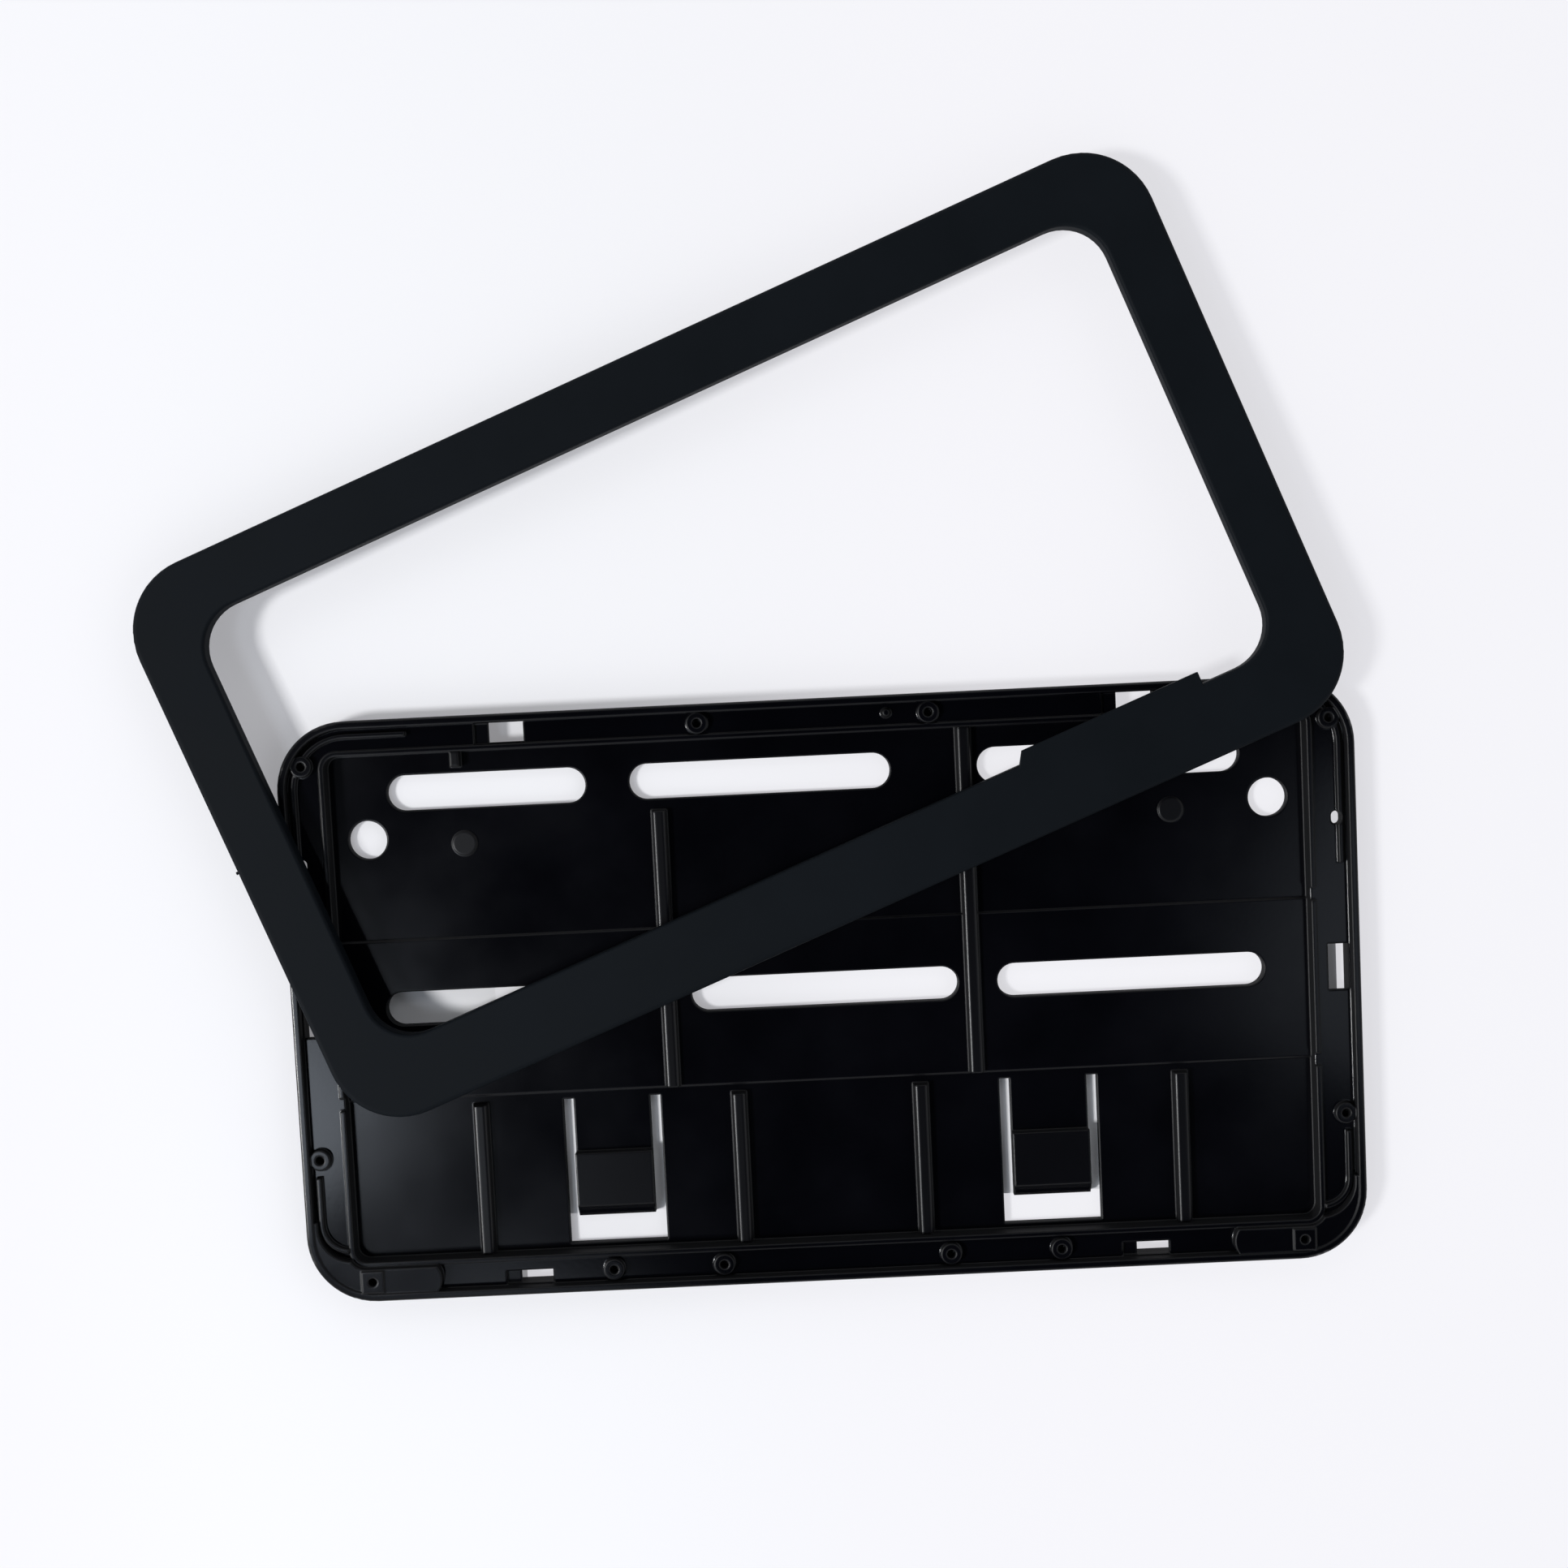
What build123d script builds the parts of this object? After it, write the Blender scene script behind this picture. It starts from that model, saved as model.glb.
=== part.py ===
from build123d import *
import math
import os

# Number plate holder: a moulded back tray, and the cover frame that snaps on to it.
# The tray lies on its back, and the frame rests loosely across one of its long sides.
# Origin on the tray's back, at the middle of its lower row of slots.
# +X runs along the plate, +Y up the plate and +Z to the front.

# Plate that the holder is made for
plate_width = 304.8
plate_height = 152.4
plate_side_clearance = 0.8
plate_end_clearance = 4.3

# Tray: rim, walls and floor
side_rim = 14.3
top_rim = 11.0
bottom_rim = 12.0
tray_rise = 10.0
tray_corner = 21.5
outer_wall = 2.4
recess_wall = 2.0
recess_corner = 4.0
floor_thickness = 2.5
ledge_drop = 3.3
ledge_thickness = 2.0
lip_width = 1.6
lip_rise = 1.2
wall_round = 0.8

# Floor: the raised band that carries the lower row of slots
band_top = 21.8
band_bottom = -29.0
band_rise = 0.8

# Bolt slots and holes
upper_slot_y = 68.4
upper_slot_width = 11.2
upper_slot_length = 82.2
upper_slot_left_x = -17.4
upper_slot_right_x = 92.2
short_slot_x = -103.6
short_slot_length = 62.7
lower_slot_width = 10.8
lower_slot_length = 84.4
lower_slot_pitch = 96.9
bolt_hole_x = 141.9
bolt_hole_y = 54.1
bolt_hole_radius = 6.1

# Ribs under the plate
rib_width = 4.7
rib_height = 3.0
rib_draft_angle = 5.0
rib_round = 1.2
left_rib_x = -49.5
left_rib_top = 59.3
right_rib_x = 46.9
bay_inner_rib_x = 28.9
bay_outer_rib_x = 111.2
stub_rib_x = 112.6
stub_rib_length = 5.0
stub_rib_width = 3.2

# Sprung tongues in their cut-outs
tongue_x = 69.5
tongue_width = 24.4
tongue_gap = 3.3
cutout_top = -31.6
cutout_bottom = -78.5
tongue_step = -48.7
tongue_crest = -65.6
tongue_end = -69.5
tongue_block_rise = 3.0

# Round studs on the floor
stud_x = 111.3
stud_y = 51.7
stud_radius = 3.8
stud_rise = 0.6

# Hook windows in the rim; those in the long sides have a ramp at their left end
window_gap = 0.3
pocket_x = 98.0
top_window_length = 11.0
top_window_depth = 6.6
bottom_window_length = 10.2
bottom_window_depth = 4.3
side_window_length = 14.6
side_window_depth = 6.6
ramp_length = 4.6
ramp_depth = 0.9

# Pin bosses on the rim
boss_radius = 3.3
boss_rise = 2.0
boss_root = 1.0
boss_square = 7.0
boss_square_rise = 0.6
pin_side = 1.8
pin_clearance = 0.13
pin_hole_depth = 3.4
inner_pin_x = 36.0
outer_pin_x = 71.0
pad_pin_x = 147.4
side_pin_inset = 5.5
side_pin_y = -46.2
corner_pin_inset_x = 7.5
corner_pin_inset_y = 13.6
vent_inset = 5.7
vent_y = 47.1
vent_length = 4.0
vent_width = 2.8

# Raised pads and ridges at the rim's corners, and one small nub
pad_reach = 42.0
pad_drop = 0.3
pad_band = 13.5
pad_corner_inset_x = 17.5
pad_corner_inset_y = 26.0
pad_side_gap = 1.2
pad_inner_inset = 13.0
pad_inner_corner = 11.0
ridge_gap = 1.6
ridge_width = 1.4
ridge_rise = 1.8
ridge_reach_x = 40.5
ridge_reach_y = 59.0
low_ridge_top_inset = 40.0
low_ridge_foot_inset = 15.4
low_ridge_corner = 9.5
nub_x = 23.0
nub_inset = 5.5
nub_radius = 1.7
nub_top_radius = 1.0
nub_rise = 1.4

# Notches in the lip of the recess, at the ends of the raised band
notch_length = 4.0
upper_notch_y = 23.5
lower_notch_y = -29.0

# Cover frame
plate_side_lap = 1.7
plate_end_lap = 3.9
frame_side_band = 19.0
frame_top_band = 18.7
frame_bottom_band = 22.9
frame_depth = 5.0
face_thickness = 2.2
skirt = 2.0
frame_outer_corner = 23.0
frame_inner_corner = 14.5
frame_outer_round = 1.6
frame_inner_round = 1.0

# Snap hooks and pins under the frame
hook_thickness = 2.0
hook_reach = 9.0
hook_nose = 1.2
hook_slope = 0.5
hook_flat = 1.0
hook_clearance = 0.3
side_hook_length = 8.0
pin_reach = 2.6

# Tab on the frame's lower inner edge, sloped at its left end
tab_x = 93.8
tab_length = 61.5
tab_reach = 3.9
tab_slope_angle = 58.0

# Gate mark on the frame's outer edge
gate_y = -3.0
gate_radius = 0.5
gate_length = 1.3

# How the loose frame lies: its turn, how far its centre is above the tray's top edge,
# the space from its left hook to the tray's left wall, and the play at what it rests on
frame_turn = 21.5
frame_shift_y = 19.9
hook_wall_gap = 0.2
seat_gap = 0.15

# Worked out from the sizes above
recess_width = plate_width + 2 * plate_side_clearance
recess_height = plate_height + 2 * plate_end_clearance
recess_y = (bottom_rim - top_rim) / 2
recess_top = recess_y + recess_height / 2
recess_bottom = recess_y - recess_height / 2
tray_width = recess_width + 2 * side_rim
tray_height = recess_height + top_rim + bottom_rim
well_width = tray_width - 2 * outer_wall
well_height = tray_height - 2 * outer_wall
well_corner = tray_corner - outer_wall
ledge_top = tray_rise - ledge_drop
ledge_under = ledge_top - ledge_thickness
top_trough_y = (well_height / 2 + recess_top + lip_width) / 2
bottom_trough_y = (recess_bottom - lip_width - well_height / 2) / 2
side_pin_x = tray_width / 2 - side_pin_inset
corner_pin_x = tray_width / 2 - corner_pin_inset_x
corner_pin_y = tray_height / 2 - corner_pin_inset_y
pad_end_x = tray_width / 2 - pad_reach
pad_corner_x = tray_width / 2 - pad_corner_inset_x
pad_corner_y = pad_corner_inset_y - tray_height / 2
pad_inner_y = pad_inner_inset - tray_height / 2
ridge_end_x = tray_width / 2 - ridge_reach_x
ridge_end_y = tray_height / 2 - ridge_reach_y
low_ridge_top = low_ridge_top_inset - tray_height / 2
low_ridge_foot = low_ridge_foot_inset - tray_height / 2
nub_y = tray_height / 2 - nub_inset
opening_width = plate_width - 2 * plate_side_lap
opening_height = plate_height - 2 * plate_end_lap
opening_y = recess_y
frame_width = opening_width + 2 * frame_side_band
frame_height = opening_height + frame_top_band + frame_bottom_band
frame_y = opening_y + (frame_top_band - frame_bottom_band) / 2
face_under = frame_depth - face_thickness

round_pins = [(x, top_trough_y) for x in (-inner_pin_x, inner_pin_x)]
round_pins += [(x, bottom_trough_y) for x in (-outer_pin_x, -inner_pin_x, inner_pin_x, outer_pin_x)]
round_pins += [(x, side_pin_y) for x in (-side_pin_x, side_pin_x)]
round_pins += [(x, corner_pin_y) for x in (-corner_pin_x, corner_pin_x)]
pad_pins = [(x, bottom_trough_y) for x in (-pad_pin_x, pad_pin_x)]
pad_length = tray_width / 2 - pad_end_x + pad_band
pin_hole_radius = pin_side / math.sqrt(2) + pin_clearance

# Each hook window: direction from the centre, distance to its middle, place along the side,
# length, depth, and the length of the hook that goes in it
top_window_out = well_height / 2 - window_gap - top_window_depth / 2
bottom_window_out = well_height / 2 - window_gap - bottom_window_depth / 2
side_window_out = well_width / 2 - window_gap - side_window_depth / 2
left_window_x = -pocket_x + ramp_length / 2
right_window_x = pocket_x + ramp_length / 2
top_hook_length = top_window_length - 2 * hook_clearance
bottom_hook_length = bottom_window_length - 2 * hook_clearance
top_window = (top_window_length, top_window_depth, top_hook_length)
bottom_window = (bottom_window_length, bottom_window_depth, bottom_hook_length)
side_window = (side_window_length, side_window_depth, side_hook_length)
hook_windows = [
    (90, top_window_out, left_window_x, *top_window),
    (90, top_window_out, right_window_x, *top_window),
    (270, bottom_window_out, left_window_x, *bottom_window),
    (270, bottom_window_out, right_window_x, *bottom_window),
    (0, side_window_out, 0, *side_window),
    (180, side_window_out, 0, *side_window),
]


def rim_point(direction, out, along):
    """Place on the rim: so far out from the centre, and so far along that side, +X or +Y."""
    if direction in (90, 270):
        return (along, out if direction == 90 else -out)
    return (out if direction == 0 else -out, along)


def trough_ring():
    """Sketch of the ledge between the outer wall and the lip of the recess."""
    RectangleRounded(well_width, well_height, well_corner)
    with Locations((0, recess_y)):
        RectangleRounded(
            recess_width + 2 * lip_width,
            recess_height + 2 * lip_width,
            recess_corner + lip_width,
            mode=Mode.SUBTRACT,
        )


def tray_ribs():
    """Ribs that carry the plate, drafted and rounded: two long ones, two stubs and four in the bay."""
    with BuildSketch(Plane.XY.offset(floor_thickness)) as ribs:
        with Locations((left_rib_x, (left_rib_top + band_bottom) / 2)):
            Rectangle(rib_width, left_rib_top - band_bottom)
        with Locations((right_rib_x, (recess_top + band_bottom) / 2)):
            Rectangle(rib_width, recess_top - band_bottom)
        bay_rib_xs = (-bay_outer_rib_x, -bay_inner_rib_x, bay_inner_rib_x, bay_outer_rib_x)
        with Locations([(x, (cutout_top + recess_bottom) / 2) for x in bay_rib_xs]):
            Rectangle(rib_width, cutout_top - recess_bottom)
        with Locations([(x, recess_top - stub_rib_length / 2) for x in (-stub_rib_x, stub_rib_x)]):
            Rectangle(stub_rib_width, stub_rib_length)
    extrude(ribs.sketch, amount=rib_height, taper=rib_draft_angle)


def tray_tongue(x):
    """Sprung tongue: flat root, raised block with a sloped end, free on three sides."""
    with BuildSketch(Plane.XY) as cutout:
        with Locations((x, (cutout_top + cutout_bottom) / 2)):
            Rectangle(tongue_width + 2 * tongue_gap, cutout_top - cutout_bottom)
    extrude(cutout.sketch, amount=tray_rise, mode=Mode.SUBTRACT)
    block_top = floor_thickness + tongue_block_rise
    with BuildSketch(Plane.YZ.offset(x)) as tongue:
        with BuildLine():
            Polyline(
                (cutout_top, 0),
                (cutout_top, floor_thickness),
                (tongue_step, floor_thickness),
                (tongue_step, block_top),
                (tongue_crest, block_top),
                (tongue_end, floor_thickness),
                (tongue_end, 0),
                close=True,
            )
        make_face()
    extrude(tongue.sketch, amount=tongue_width / 2, both=True)


def hook_out(window_out, window_depth):
    """Distance from the centre to the middle of a hook's beam, against its window's inner edge."""
    return window_out - window_depth / 2 + hook_clearance + hook_thickness / 2


def snap_hook(direction, out, along, depth, hook_length):
    """Hook under the frame that drops through a rim window and catches under the ledge."""
    x, y = rim_point(direction, hook_out(out, depth), along)
    angle = math.radians(direction)
    inward = frame_plane.x_dir * -math.cos(angle) - frame_plane.y_dir * math.sin(angle)
    hook_plane = Plane(
        origin=frame_plane.from_local_coords(Vector(x, y, 0)),
        x_dir=inward,
        z_dir=inward.cross(frame_plane.z_dir),
    )
    half = hook_thickness / 2
    catch = tray_rise - ledge_under + hook_clearance
    with BuildSketch(hook_plane) as hook:
        with BuildLine():
            Polyline(
                (-half, face_under),
                (half, face_under),
                (half, -catch),
                (half + hook_nose, -catch - hook_slope),
                (half + hook_nose, -catch - hook_slope - hook_flat),
                (half, -hook_reach),
                (-half, -hook_reach),
                close=True,
            )
        make_face()
    extrude(hook.sketch, amount=hook_length / 2, both=True)


with BuildPart() as base_tray:
    # Solid block with the plate's recess in its front
    with BuildSketch(Plane.XY):
        RectangleRounded(tray_width, tray_height, tray_corner)
    extrude(amount=tray_rise)
    rim_edges = base_tray.faces().sort_by(Axis.Z)[-1].outer_wire().edges()
    fillet(rim_edges, radius=wall_round)
    with BuildSketch(Plane.XY.offset(floor_thickness)):
        with Locations((0, recess_y)):
            RectangleRounded(recess_width, recess_height, recess_corner)
    extrude(amount=tray_rise, mode=Mode.SUBTRACT)

    # Rim: a ledge behind the outer wall, a low lip round the recess, hollow at the back
    with BuildSketch(Plane.XY.offset(ledge_top + lip_rise)):
        RectangleRounded(well_width, well_height, well_corner)
    extrude(amount=ledge_drop, mode=Mode.SUBTRACT)
    with BuildSketch(Plane.XY.offset(ledge_top)):
        trough_ring()
    extrude(amount=lip_rise, mode=Mode.SUBTRACT)
    with BuildSketch(Plane.XY):
        RectangleRounded(well_width, well_height, well_corner)
        with Locations((0, recess_y)):
            RectangleRounded(
                recess_width + 2 * recess_wall,
                recess_height + 2 * recess_wall,
                recess_corner + recess_wall,
                mode=Mode.SUBTRACT,
            )
    extrude(amount=ledge_under, mode=Mode.SUBTRACT)

    # Raised pads and short ridges at the lower corners, longer ridges at the upper ones
    for side in (-1, 1):
        with BuildSketch(Plane.XY.offset(ledge_top)):
            trough_ring()
            with Locations((side * (pad_end_x + pad_length / 2), bottom_trough_y)):
                SlotOverall(pad_length, pad_band, mode=Mode.INTERSECT)
        extrude(amount=ledge_drop - pad_drop)
        with BuildSketch(Plane.XY.offset(ledge_top)):
            trough_ring()
            pad_corner_width = tray_width / 2 - pad_corner_x
            pad_corner_height = tray_height / 2 + pad_corner_y
            pad_corner_at = (pad_corner_x + pad_corner_width / 2, pad_corner_y - pad_corner_height / 2)
            with Locations((side * pad_corner_at[0], pad_corner_at[1])):
                Rectangle(pad_corner_width, pad_corner_height, mode=Mode.INTERSECT)
            RectangleRounded(
                well_width - 2 * pad_side_gap,
                -2 * pad_inner_y,
                pad_inner_corner,
                mode=Mode.SUBTRACT,
            )
        extrude(amount=ledge_drop - pad_drop)
        with BuildSketch(Plane.XY.offset(ledge_top)):
            low_ridge_width = well_width - 2 * ridge_gap
            low_ridge_height = -2 * low_ridge_foot
            RectangleRounded(low_ridge_width, low_ridge_height, low_ridge_corner)
            RectangleRounded(
                low_ridge_width - 2 * ridge_width,
                low_ridge_height - 2 * ridge_width,
                low_ridge_corner - ridge_width,
                mode=Mode.SUBTRACT,
            )
            low_ridge_start = recess_width / 2 + lip_width
            low_box_width = tray_width / 2 - low_ridge_start
            low_box_height = low_ridge_top - low_ridge_foot
            low_box_y = (low_ridge_top + low_ridge_foot) / 2
            with Locations((side * (low_ridge_start + low_box_width / 2), low_box_y)):
                Rectangle(low_box_width, low_box_height, mode=Mode.INTERSECT)
        extrude(amount=ridge_rise)
        with BuildSketch(Plane.XY.offset(ledge_top)):
            ridge_out = 2 * ridge_gap
            ridge_in = 2 * (ridge_gap + ridge_width)
            RectangleRounded(well_width - ridge_out, well_height - ridge_out, well_corner - ridge_gap)
            RectangleRounded(
                well_width - ridge_in,
                well_height - ridge_in,
                well_corner - ridge_gap - ridge_width,
                mode=Mode.SUBTRACT,
            )
            corner_width = tray_width / 2 - ridge_end_x
            corner_height = tray_height / 2 - ridge_end_y
            with Locations((side * (ridge_end_x + corner_width / 2), ridge_end_y + corner_height / 2)):
                Rectangle(corner_width, corner_height, mode=Mode.INTERSECT)
        extrude(amount=ridge_rise)
    with Locations((nub_x, nub_y, ledge_top)):
        Cone(nub_radius, nub_top_radius, nub_rise, align=(Align.CENTER, Align.CENTER, Align.MIN))
    with BuildSketch(Plane.XY.offset(ledge_top)):
        notch_x = (recess_width + lip_width) / 2
        for notch_y in (upper_notch_y, lower_notch_y):
            with Locations((-notch_x, notch_y), (notch_x, notch_y)):
                Rectangle(2 * lip_width, notch_length)
    extrude(amount=lip_rise, mode=Mode.SUBTRACT)

    # Pin bosses, rooted in the ledge: round ones, and square ones on the pads
    with BuildSketch(Plane.XY.offset(ledge_top - boss_root)):
        with Locations(round_pins):
            Circle(boss_radius)
    extrude(amount=boss_root + boss_rise)
    with BuildSketch(Plane.XY.offset(ledge_top - boss_root)):
        with Locations(pad_pins):
            Rectangle(boss_square, boss_square)
    extrude(amount=boss_root + ledge_drop - pad_drop + boss_square_rise)
    for points, boss_top in (
        (round_pins, ledge_top + boss_rise),
        (pad_pins, tray_rise - pad_drop + boss_square_rise),
    ):
        with BuildSketch(Plane.XY.offset(boss_top - pin_hole_depth)):
            with Locations(points):
                Circle(pin_hole_radius)
        extrude(amount=pin_hole_depth, mode=Mode.SUBTRACT)

    # Windows for the snap hooks, with a shallow ramp beside those in the long sides
    for direction, out, along, length, depth, _ in hook_windows:
        upright = direction in (0, 180)
        with BuildSketch(Plane.XY.offset(ledge_under)):
            with Locations(rim_point(direction, out, along)):
                Rectangle(depth if upright else length, length if upright else depth)
        extrude(amount=tray_rise, mode=Mode.SUBTRACT)
        if not upright:
            with BuildSketch(Plane.XY.offset(ledge_top - ramp_depth)):
                with Locations(rim_point(direction, out, along - (length + ramp_length) / 2)):
                    Rectangle(ramp_length, depth)
            extrude(amount=tray_rise, mode=Mode.SUBTRACT)
    with BuildSketch(Plane.XY.offset(ledge_under)):
        vent_x = tray_width / 2 - vent_inset
        with Locations((-vent_x, vent_y), (vent_x, vent_y)):
            SlotOverall(vent_length, vent_width, rotation=90)
    extrude(amount=tray_rise, mode=Mode.SUBTRACT)

    # Floor: raised middle band and ribs, then everything that goes through it
    with BuildSketch(Plane.XY.offset(floor_thickness)):
        with Locations((0, (band_top + band_bottom) / 2)):
            Rectangle(recess_width, band_top - band_bottom)
    extrude(amount=band_rise)
    tray_ribs()
    rib_top = floor_thickness + rib_height
    rib_edges = base_tray.edges().filter_by_position(Axis.Z, rib_top, rib_top).filter_by(Axis.Y)
    fillet(rib_edges.filter_by(lambda edge: edge.length > stub_rib_length), radius=rib_round)
    with BuildSketch(Plane.XY.offset(floor_thickness)):
        with Locations((-stud_x, stud_y), (stud_x, stud_y)):
            Circle(stud_radius)
    extrude(amount=stud_rise)
    for side in (-1, 1):
        tray_tongue(side * tongue_x)
    with BuildSketch(Plane.XY):
        with Locations((short_slot_x, upper_slot_y)):
            SlotOverall(short_slot_length, upper_slot_width)
        with Locations((upper_slot_left_x, upper_slot_y), (upper_slot_right_x, upper_slot_y)):
            SlotOverall(upper_slot_length, upper_slot_width)
        with Locations((-lower_slot_pitch, 0), (0, 0), (lower_slot_pitch, 0)):
            SlotOverall(lower_slot_length, lower_slot_width)
        with Locations((-bolt_hole_x, bolt_hole_y), (bolt_hole_x, bolt_hole_y)):
            Circle(bolt_hole_radius)
    extrude(amount=tray_rise, mode=Mode.SUBTRACT)

base_tray.part.label = "base_tray"


# The loose frame lies on the tips of three hooks: the lower left one stands on the tray's floor
# and the two upper ones on the table. Its left hook is beside the tray's left wall.
turn_cos = math.cos(math.radians(frame_turn))
turn_sin = math.sin(math.radians(frame_turn))
left_nose = hook_out(side_window_out, side_window_depth) - hook_thickness / 2 - hook_nose
left_nose_x = -left_nose * turn_cos + side_hook_length / 2 * turn_sin
frame_centre_x = -tray_width / 2 - hook_wall_gap - left_nose_x
frame_centre_y = tray_height / 2 + frame_shift_y


def over_table(x, y, height):
    """Point of the frame, given in its own axes, over the table at a height."""
    return Vector(
        frame_centre_x + x * turn_cos - y * turn_sin,
        frame_centre_y + x * turn_sin + y * turn_cos,
        height,
    )


lower_hook_y = -hook_out(bottom_window_out, bottom_window_depth)
upper_hook_y = hook_out(top_window_out, top_window_depth)
on_table = hook_reach + seat_gap
on_floor = floor_thickness + band_rise + on_table
floor_rest = over_table(left_window_x, lower_hook_y, on_floor)
left_rest = over_table(left_window_x, upper_hook_y, on_table)
right_rest = over_table(right_window_x, upper_hook_y, on_table)

frame_normal = (right_rest - floor_rest).cross(left_rest - floor_rest).normalized()
frame_centre = over_table(0, 0, left_rest.Z)
centre_drop = (frame_centre - left_rest).dot(frame_normal) / frame_normal.Z
turned_x = Vector(turn_cos, turn_sin, 0)
frame_plane = Plane(
    origin=frame_centre - Vector(0, 0, centre_drop),
    x_dir=turned_x - frame_normal * turned_x.dot(frame_normal),
    z_dir=frame_normal,
)

with BuildPart() as cover_frame:
    # Flat band round the window, with rounded front edges
    with BuildSketch(frame_plane):
        with Locations((0, frame_y)):
            RectangleRounded(frame_width, frame_height, frame_outer_corner)
        with Locations((0, opening_y)):
            RectangleRounded(opening_width, opening_height, frame_inner_corner, mode=Mode.SUBTRACT)
    extrude(amount=frame_depth)
    front = cover_frame.faces().sort_by(Axis(frame_plane.origin, frame_plane.z_dir))[-1]
    outer_edges = front.outer_wire().edges()
    inner_edges = front.inner_wires()[0].edges()
    fillet(outer_edges, radius=frame_outer_round)
    fillet(inner_edges, radius=frame_inner_round)

    # Hollow back between the outer and inner skirts
    with BuildSketch(frame_plane):
        with Locations((0, frame_y)):
            RectangleRounded(frame_width - 2 * skirt, frame_height - 2 * skirt, frame_outer_corner - skirt)
        with Locations((0, opening_y)):
            RectangleRounded(
                opening_width + 2 * skirt,
                opening_height + 2 * skirt,
                frame_inner_corner + skirt,
                mode=Mode.SUBTRACT,
            )
    extrude(amount=face_under, mode=Mode.SUBTRACT)

    # Snap hooks and locating pins under the face
    for direction, out, along, _, depth, hook_length in hook_windows:
        snap_hook(direction, out, along, depth, hook_length)
    with BuildSketch(frame_plane.offset(-pin_reach)):
        with Locations(round_pins + pad_pins):
            Rectangle(pin_side, pin_side)
    extrude(amount=pin_reach + face_under)

    # Tab on the lower inner edge, level with the face, and the gate mark at the left
    with BuildSketch(frame_plane.offset(face_under)):
        tab_width = tab_reach + skirt / 2
        tab_y = opening_y - opening_height / 2 + tab_reach - tab_width / 2
        with Locations((tab_x, tab_y)):
            Trapezoid(tab_length, tab_width, tab_slope_angle, 90)
    extrude(amount=face_thickness)
    gate_plane = Plane(
        origin=frame_plane.from_local_coords(Vector(-frame_width / 2, gate_y, face_under / 2)),
        x_dir=frame_plane.y_dir,
        z_dir=frame_plane.x_dir * -1,
    )
    with BuildSketch(gate_plane):
        Circle(gate_radius)
    extrude(amount=gate_length)

cover_frame.part.label = "cover_frame"

os.makedirs("parts", exist_ok=True)
export_step(base_tray.part, "parts/base_tray.step")
export_step(cover_frame.part, "parts/cover_frame.step")
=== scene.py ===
import math

import bpy
from mathutils import Matrix, Vector

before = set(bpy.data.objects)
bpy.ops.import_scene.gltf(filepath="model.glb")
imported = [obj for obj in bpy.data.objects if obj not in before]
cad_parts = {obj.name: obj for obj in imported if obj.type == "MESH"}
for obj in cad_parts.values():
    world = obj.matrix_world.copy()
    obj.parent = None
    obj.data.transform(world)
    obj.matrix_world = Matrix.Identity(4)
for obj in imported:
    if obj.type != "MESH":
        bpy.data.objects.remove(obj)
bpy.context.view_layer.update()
scene = bpy.context.scene

# Camera, fitted to the corners of the tray and of the frame in the picture
CAMERA_PLACE = (-0.005852, 0.098502, 0.538104)
CAMERA_RIGHT = (0.998807, -0.048644, -0.004281)
CAMERA_DOWN = (-0.048288, -0.996922, 0.061762)
CAMERA_FORWARD = (-0.007272, -0.061481, -0.998082)
IMAGE_PIXELS = 1932
FOCAL_PIXELS = 2100
SENSOR_MM = 36
CLIP_NEAR = 0.01
CLIP_FAR = 20

# Lights, by their direction from the aim point, in degrees, metres and watts: one soft key from
# the left, and three dim panels high on the left and right that glint in the rim
LIGHT_AIM = (0, 0.08, 0)
KEY = {"azimuth": 196, "elevation": 45, "distance": 5.0, "size": 0.785, "power": 192.0}
LEFT_PANEL = {"azimuth": 211.6, "elevation": 58.4, "distance": 1.435, "size": 0.3, "power": 1.8}
LOW_PANEL = {"azimuth": 244.8, "elevation": 57.6, "distance": 1.445, "size": 0.24, "power": 0.24}
RIGHT_PANEL = {"azimuth": -24.3, "elevation": 60.4, "distance": 1.38, "size": 0.3, "power": 0.26}
PANEL_TINT = (0.80, 0.88, 1.0)

# Room: strengths of the light from walls and windows low down and of the dark ceiling, and the
# span of the direction's z in which one goes over into the other
ROOM_STRENGTH = (0.83, 0.004)
ROOM_SPAN = (0.62, 0.86)
ROOM_TINT = (0.95, 0.97, 1.0, 1)

# Table: plain white with a trace of lavender
TABLE_SIZE = 6
TABLE_CLOUD = {"Scale": 3.0, "Detail": 2.0}
TABLE_DARK = (0.86, 0.86, 0.875)
TABLE_LIGHT = (0.88, 0.88, 0.90)
TABLE_ROUGH = 0.9
TABLE_SPECULAR = 0.1

# Painted light: white that the table gives off by itself and that fades its shadows, so that it
# stays pale in the camera's view, least so where the frame's left side throws its shadow; places
# along x in metres and the share there
TABLE_WHITE = (0.939, 0.931, 0.972, 1)
PALE = ((-0.30, 0.68), (-0.18, 0.26), (-0.10, 0.26), (0.08, 0.68))
PALE_SPAN = 0.4

# Share of the table's painted light where the table shows through the tray's gaps: the middle and
# the spread of each place along x and along y, and the share; first the tongues' cut-outs, then
# the left lower slot, the left lower hook window, and the left half of the right side window
PALE_GAPS = (
    ((-0.0695, 0.017), (-0.0495, 0.020), 0.0),
    ((0.0695, 0.017), (-0.0495, 0.020), 0.0),
    ((-0.125, 0.020), (0.0, 0.007), 0.0),
    ((-0.088, 0.012), (-0.0865, 0.005), 0.65),
    ((0.1584, 0.0044), (0.0, 0.010), 0.05),
)

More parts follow.
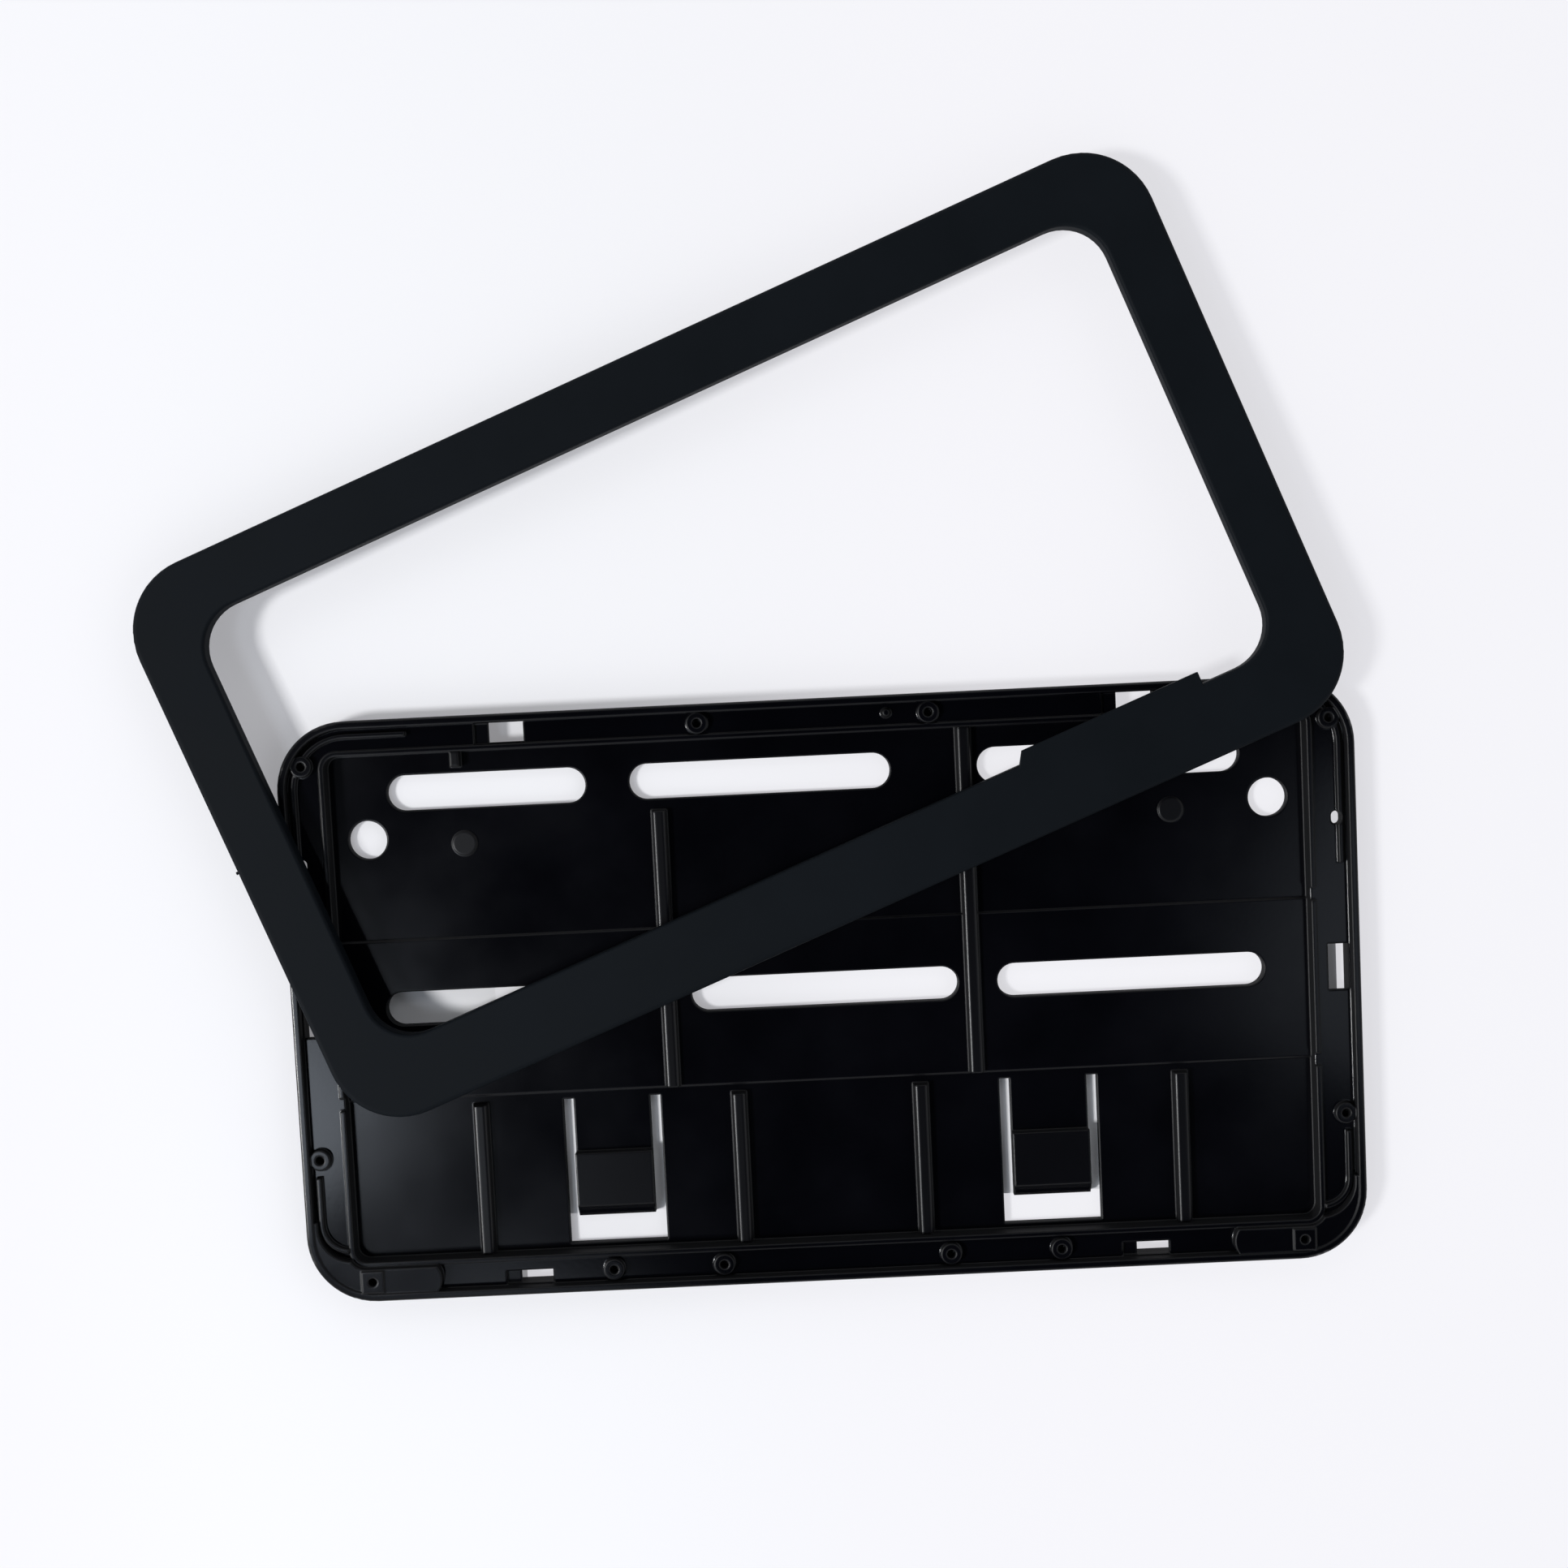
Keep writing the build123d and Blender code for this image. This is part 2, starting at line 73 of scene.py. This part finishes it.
# Plastics: the ranges of colour and of roughness, the grain, the shine and the soft edges
TRAY_LOOK = {
    "dark": (0.0008, 0.0009, 0.0017),
    "light": (0.0014, 0.0015, 0.0026),
    "rough": (0.14, 0.21),
    "grain_scale": 700.0,
    "grain_depth": 0.000015,
    "specular": 0.28,
    "edge": 0.0009,
    "edge_rough": 0.46,
}
FRAME_LOOK = {
    "dark": (0.0030, 0.0044, 0.0062),
    "light": (0.0038, 0.0054, 0.0076),
    "rough": (0.58, 0.66),
    "grain_scale": 1800.0,
    "grain_depth": 0.00004,
    "specular": 0.07,
    "edge": 0.0006,
    "edge_rough": 0.60,
}

# In both plastics: the clouding and its spans for colour and for roughness, the grain's detail and
# strength, and the edges' samples and the cosines between which an edge grows dull
CLOUD = {"Scale": 28.0, "Detail": 4.0, "Roughness": 0.55}
CLOUD_TINT = (0.35, 0.68)
CLOUD_GLOSS = (0.3, 0.7)
GRAIN_DETAIL = 3.0
GRAIN_STRENGTH = 0.25
EDGE_SAMPLES = 14
EDGE_LEAN = (1.0, 0.97)

# Places on the tray with a gloss of their own: rib tops, the tongues' blocks at the same height,
# the studs, the rim's shiny ledge, and the upright walls by their normal's z; each by the middle
# and the spread of its place, in metres, and its roughness
RIB_HEIGHT = (0.0050, 0.0008)
RIB_ROUGH = 0.31
BLOCK_X = (0.0695, 0.0125)
BLOCK_ROUGH = 0.27
STUD_HEIGHT = (0.0031, 0.0001)
STUD_ROUGH = 0.36
LEDGE_HEIGHT = (0.0067, 0.0002)
LEDGE_ROUGH = 0.13
WALL_NORMAL = (0.0, 0.5)
WALL_ROUGH = 0.75


def material(name):
    """New node material; gives it, its node tree and its Principled shader."""
    made = bpy.data.materials.new(name)
    made.use_nodes = True
    tree = made.node_tree
    return made, tree, tree.nodes["Principled BSDF"]


def node(tree, kind, **values):
    """Add a node and set its properties and input sockets by name."""
    added = tree.nodes.new(kind)
    for key, value in values.items():
        if hasattr(added, key):
            setattr(added, key, value)
        else:
            added.inputs[key].default_value = value
    return added


def noise(tree, where, **values):
    """Noise over the given coordinates."""
    cloud = node(tree, "ShaderNodeTexNoise", **values)
    tree.links.new(where, cloud.inputs["Vector"])
    return cloud.outputs["Fac"]


def axes(tree, vector):
    """The x, y and z of a vector."""
    parts = node(tree, "ShaderNodeSeparateXYZ")
    tree.links.new(vector, parts.inputs["Vector"])
    return parts.outputs["X"], parts.outputs["Y"], parts.outputs["Z"]


def combine(tree, operation, first, second):
    """Two values joined by a math operation."""
    joined = node(tree, "ShaderNodeMath", operation=operation)
    tree.links.new(first, joined.inputs[0])
    tree.links.new(second, joined.inputs[1])
    return joined.outputs["Value"]


def remap(tree, value, source, target=(0.0, 1.0), interpolation="LINEAR"):
    """The value carried over from the source span to the target span."""
    moved = node(tree, "ShaderNodeMapRange", interpolation_type=interpolation)
    for socket, limit in zip(("From Min", "From Max", "To Min", "To Max"), (*source, *target)):
        moved.inputs[socket].default_value = limit
    tree.links.new(value, moved.inputs["Value"])
    return moved.outputs["Result"]


def two_tone(tree, value, dark, light, span=(0.0, 1.0)):
    """Colour that goes from dark to light as the value goes through the span."""
    tint = node(tree, "ShaderNodeValToRGB")
    for stop, position, colour in zip(tint.color_ramp.elements, span, (dark, light)):
        stop.position = position
        stop.color = (*colour, 1)
    tree.links.new(value, tint.inputs["Fac"])
    return tint.outputs["Color"]


def place_mask(tree, value, place):
    """1 where the value lies within the spread of the place's middle, else 0."""
    middle, spread = place
    near = node(tree, "ShaderNodeMath", operation="COMPARE")
    near.inputs[1].default_value = middle
    near.inputs[2].default_value = spread
    tree.links.new(value, near.inputs[0])
    return near.outputs["Value"]


def value_where(tree, mask, value, before):
    """A value such as roughness that changes to the given one where the mask is 1."""
    mixed = node(tree, "ShaderNodeMix", data_type="FLOAT")
    mixed.inputs[3].default_value = value
    tree.links.new(mask, mixed.inputs[0])
    tree.links.new(before, mixed.inputs[2])
    return mixed.outputs[0]


def tray_gloss(tree, where, gloss):
    """Duller rib tops, tongue blocks, studs and upright walls on the tray, and a shinier ledge."""
    x, _, z = axes(tree, where)
    aside = node(tree, "ShaderNodeMath", operation="ABSOLUTE")
    tree.links.new(x, aside.inputs[0])
    ribs = place_mask(tree, z, RIB_HEIGHT)
    studs = place_mask(tree, z, STUD_HEIGHT)
    ledge = place_mask(tree, z, LEDGE_HEIGHT)
    columns = place_mask(tree, aside.outputs["Value"], BLOCK_X)
    blocks = combine(tree, "MULTIPLY", ribs, columns)
    shape = node(tree, "ShaderNodeNewGeometry")
    _, _, upward = axes(tree, shape.outputs["Normal"])
    walls = place_mask(tree, upward, WALL_NORMAL)
    for mask, rough in (
        (ribs, RIB_ROUGH),
        (studs, STUD_ROUGH),
        (blocks, BLOCK_ROUGH),
        (ledge, LEDGE_ROUGH),
        (walls, WALL_ROUGH),
    ):
        gloss = value_where(tree, mask, rough, gloss)
    return gloss


def moulded_plastic(
    name, dark, light, rough, grain_scale, grain_depth, specular, edge, edge_rough, own_gloss=None
):
    """Black moulded plastic: uneven colour and gloss, a fine grain and dulled soft edges."""
    made, tree, shader = material(name)
    where = node(tree, "ShaderNodeTexCoord").outputs["Object"]
    cloud = noise(tree, where, **CLOUD)
    tree.links.new(two_tone(tree, cloud, dark, light, CLOUD_TINT), shader.inputs["Base Color"])
    soft = node(tree, "ShaderNodeBevel", samples=EDGE_SAMPLES, Radius=edge)
    shape = node(tree, "ShaderNodeNewGeometry")
    lean = node(tree, "ShaderNodeVectorMath", operation="DOT_PRODUCT")
    tree.links.new(soft.outputs["Normal"], lean.inputs[0])
    tree.links.new(shape.outputs["Normal"], lean.inputs[1])
    worn = remap(tree, lean.outputs["Value"], EDGE_LEAN)
    gloss = value_where(tree, worn, edge_rough, remap(tree, cloud, CLOUD_GLOSS, rough))
    if own_gloss:
        gloss = own_gloss(tree, where, gloss)
    tree.links.new(gloss, shader.inputs["Roughness"])
    grain = noise(tree, where, Scale=grain_scale, Detail=GRAIN_DETAIL)
    bump = node(tree, "ShaderNodeBump", Strength=GRAIN_STRENGTH, Distance=grain_depth)
    tree.links.new(grain, bump.inputs["Height"])
    tree.links.new(soft.outputs["Normal"], bump.inputs["Normal"])
    tree.links.new(bump.outputs["Normal"], shader.inputs["Normal"])
    shader.inputs["Specular IOR Level"].default_value = specular
    return made


def glow_share(tree, where):
    """Share of the painted light, its own white, that the table gives off at each place."""
    x, y, _ = axes(tree, where)
    pale = node(tree, "ShaderNodeValToRGB")
    pale.color_ramp.interpolation = "EASE"
    stops = pale.color_ramp.elements
    while len(stops) < len(PALE):
        stops.new(1.0)
    for stop, (along, level) in zip(stops, PALE):
        stop.position = (along + PALE_SPAN) / (2 * PALE_SPAN)
        stop.color = (level, level, level, 1)
    tree.links.new(remap(tree, x, (-PALE_SPAN, PALE_SPAN)), pale.inputs["Fac"])
    share = pale.outputs["Color"]
    for gap_x, gap_y, level in PALE_GAPS:
        column = place_mask(tree, x, gap_x)
        row = place_mask(tree, y, gap_y)
        share = value_where(tree, combine(tree, "MULTIPLY", column, row), level, share)
    return share


def white_table():
    """Shadowed white, mixed with painted white light for camera, glossy and transmission rays."""
    made, tree, shader = material("table_white")
    where = node(tree, "ShaderNodeTexCoord").outputs["Object"]
    cloud = noise(tree, where, **TABLE_CLOUD)
    tree.links.new(two_tone(tree, cloud, TABLE_DARK, TABLE_LIGHT), shader.inputs["Base Color"])
    shader.inputs["Roughness"].default_value = TABLE_ROUGH
    shader.inputs["Specular IOR Level"].default_value = TABLE_SPECULAR
    ray = node(tree, "ShaderNodeLightPath").outputs
    seen = combine(tree, "MAXIMUM", ray["Is Camera Ray"], ray["Is Glossy Ray"])
    seen = combine(tree, "MAXIMUM", seen, ray["Is Transmission Ray"])
    # Painted light: the table glows in its own white, which lifts its shadows where the share is
    # high
    white = node(tree, "ShaderNodeEmission", Color=TABLE_WHITE)
    blend = node(tree, "ShaderNodeMixShader")
    tree.links.new(combine(tree, "MULTIPLY", seen, glow_share(tree, where)), blend.inputs[0])
    tree.links.new(shader.outputs["BSDF"], blend.inputs[1])
    tree.links.new(white.outputs["Emission"], blend.inputs[2])
    tree.links.new(blend.outputs["Shader"], tree.nodes["Material Output"].inputs["Surface"])
    return made


def area_light(name, azimuth, elevation, distance, size, power, tint=(1, 1, 1)):
    """Square soft light at a direction from the aim point, pointing at it."""
    turn, rise = math.radians(azimuth), math.radians(elevation)
    out = Vector((math.cos(turn) * math.cos(rise), math.sin(turn) * math.cos(rise), math.sin(rise)))
    lamp = bpy.data.lights.new(name, "AREA")
    lamp.shape = "SQUARE"
    lamp.size = size
    lamp.energy = power
    lamp.color = tint
    held = bpy.data.objects.new(name, lamp)
    scene.collection.objects.link(held)
    held.location = Vector(LIGHT_AIM) + out * distance
    held.rotation_euler = (-out).to_track_quat("-Z", "Y").to_euler()


# The two pieces
looks = {
    "base_tray": moulded_plastic("tray_plastic", **TRAY_LOOK, own_gloss=tray_gloss),
    "cover_frame": moulded_plastic("frame_plastic", **FRAME_LOOK),
}
for name, look in looks.items():
    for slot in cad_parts[name].material_slots:
        slot.material = look

# Table
bpy.ops.mesh.primitive_plane_add(size=TABLE_SIZE, location=(0, 0, 0))
floor = bpy.context.object
floor.name = "table"
floor.data.materials.append(white_table())

# Room
world = bpy.data.worlds.new("room")
scene.world = world
world.use_nodes = True
sky = world.node_tree
_, _, height = axes(sky, node(sky, "ShaderNodeTexCoord").outputs["Generated"])
room = sky.nodes["Background"]
room.inputs["Color"].default_value = ROOM_TINT
sky.links.new(remap(sky, height, ROOM_SPAN, ROOM_STRENGTH, "SMOOTHSTEP"), room.inputs["Strength"])

# Lights
area_light("key", **KEY)
area_light("left_panel", **LEFT_PANEL, tint=PANEL_TINT)
area_light("low_panel", **LOW_PANEL, tint=PANEL_TINT)
area_light("right_panel", **RIGHT_PANEL, tint=PANEL_TINT)

# Camera
camera_data = bpy.data.cameras.new("camera")
camera_data.sensor_fit = "HORIZONTAL"
camera_data.sensor_width = SENSOR_MM
camera_data.lens = FOCAL_PIXELS / IMAGE_PIXELS * SENSOR_MM
camera_data.clip_start = CLIP_NEAR
camera_data.clip_end = CLIP_FAR
camera = bpy.data.objects.new("camera", camera_data)
scene.collection.objects.link(camera)
right = Vector(CAMERA_RIGHT)
up = -Vector(CAMERA_DOWN)
behind = -Vector(CAMERA_FORWARD)
turn = Matrix((right, up, behind)).transposed()
camera.matrix_world = Matrix.Translation(Vector(CAMERA_PLACE)) @ turn.to_4x4()
scene.camera = camera
scene.view_settings.view_transform = "Standard"
